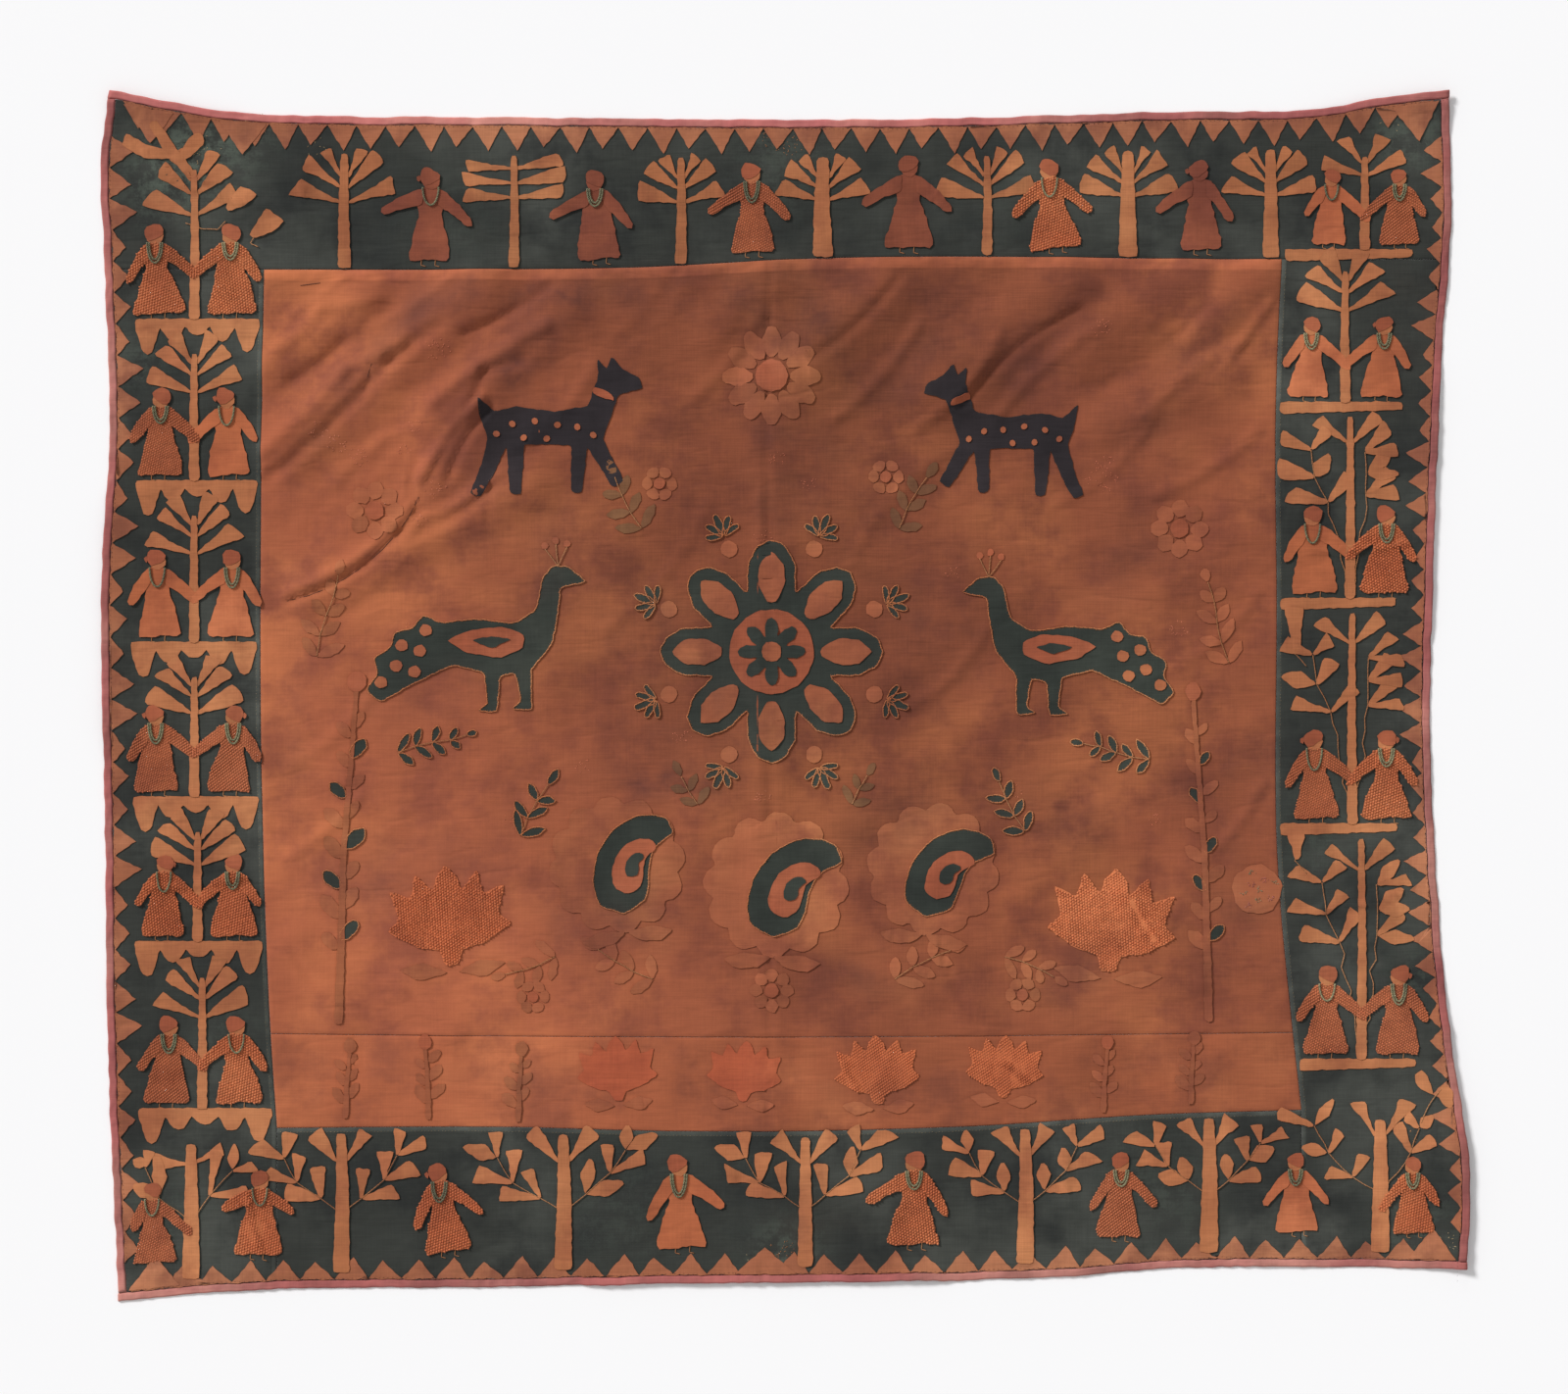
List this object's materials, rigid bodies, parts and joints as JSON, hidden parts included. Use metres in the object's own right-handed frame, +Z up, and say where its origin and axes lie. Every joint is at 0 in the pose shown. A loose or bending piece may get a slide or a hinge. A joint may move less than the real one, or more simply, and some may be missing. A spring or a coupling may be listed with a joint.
{
  "type": "applique shrine cloth",
  "caption": "Flat cotton shrine cloth: a pieced rust field with cut-cloth motifs, dark green borders of trees and tunic figures, sawtooth edging and a narrow rose binding.",
  "frame": {"origin": "on the surface that the cloth lies on, under the middle of its box", "axes": "+Z up out of the cloth's face, +X along its long side to the viewer's right, +Y towards its upper edge"},
  "size_m": [1.221, 1.0801, 0.0102],
  "materials": {
    "field": "plain-woven rust cotton, faded and stained, matt",
    "strip": "plain-woven lighter rust cotton, matt",
    "border": "dark green-black cotton, worn, matt",
    "binding": "dusty rose cotton binding with small stitches, matt",
    "tan_patch": "tan cotton patches with turned edges, matt",
    "rust_patch": "warm rust cotton patches with turned edges, matt",
    "green_patch": "dark green cotton patches with whipped edges, matt",
    "black_patch": "near-black cotton patches, matt",
    "raised_patch": "thick knotted rust yarn, matt"
  },
  "bodies": {
    "root": {"field_panel": "field", "field_strip": "strip", "border_top": "border", "border_bottom": "border", "border_left": "border", "border_right": "border", "binding_top": "binding", "binding_bottom": "binding", "binding_left": "binding", "binding_right": "binding", "sawtooth_top": "tan_patch", "sawtooth_bottom": "tan_patch", "sawtooth_left": "tan_patch", "sawtooth_right": "tan_patch", "bay_left_1": "tan_patch", "bay_left_2": "tan_patch", "bay_left_3": "tan_patch", "bay_left_4": "tan_patch", "bay_left_5": "tan_patch", "bay_left_6": "tan_patch", "bay_right_1": "tan_patch", "bay_right_2": "tan_patch", "bay_right_3": "tan_patch", "bay_right_4": "tan_patch", "bay_right_5": "tan_patch", "corner_left": "tan_patch", "corner_right": "tan_patch", "top_tree_1": "tan_patch", "top_tree_2": "tan_patch", "top_tree_3": "tan_patch", "top_tree_4": "tan_patch", "top_tree_5": "tan_patch", "top_tree_6": "tan_patch", "top_tree_7": "tan_patch", "bottom_tree_1": "tan_patch", "bottom_tree_2": "tan_patch", "bottom_tree_3": "tan_patch", "bottom_tree_4": "tan_patch", "bottom_tree_5": "tan_patch", "top_figure_1": "rust_patch", "top_figure_2": "rust_patch", "top_figure_3": "rust_patch", "top_figure_4": "rust_patch", "top_figure_5": "rust_patch", "top_figure_6": "rust_patch", "bottom_figure_1": "rust_patch", "bottom_figure_2": "rust_patch", "bottom_figure_3": "rust_patch", "bottom_figure_4": "rust_patch", "bottom_figure_5": "rust_patch", "rosette": "green_patch", "peacock_left": "green_patch", "peacock_right": "green_patch", "paisley_1": "green_patch", "paisley_2": "green_patch", "paisley_3": "green_patch", "deer_left": "black_patch", "deer_right": "black_patch", "lotus_left": "raised_patch", "lotus_right": "raised_patch"}
  },
  "joints": []
}
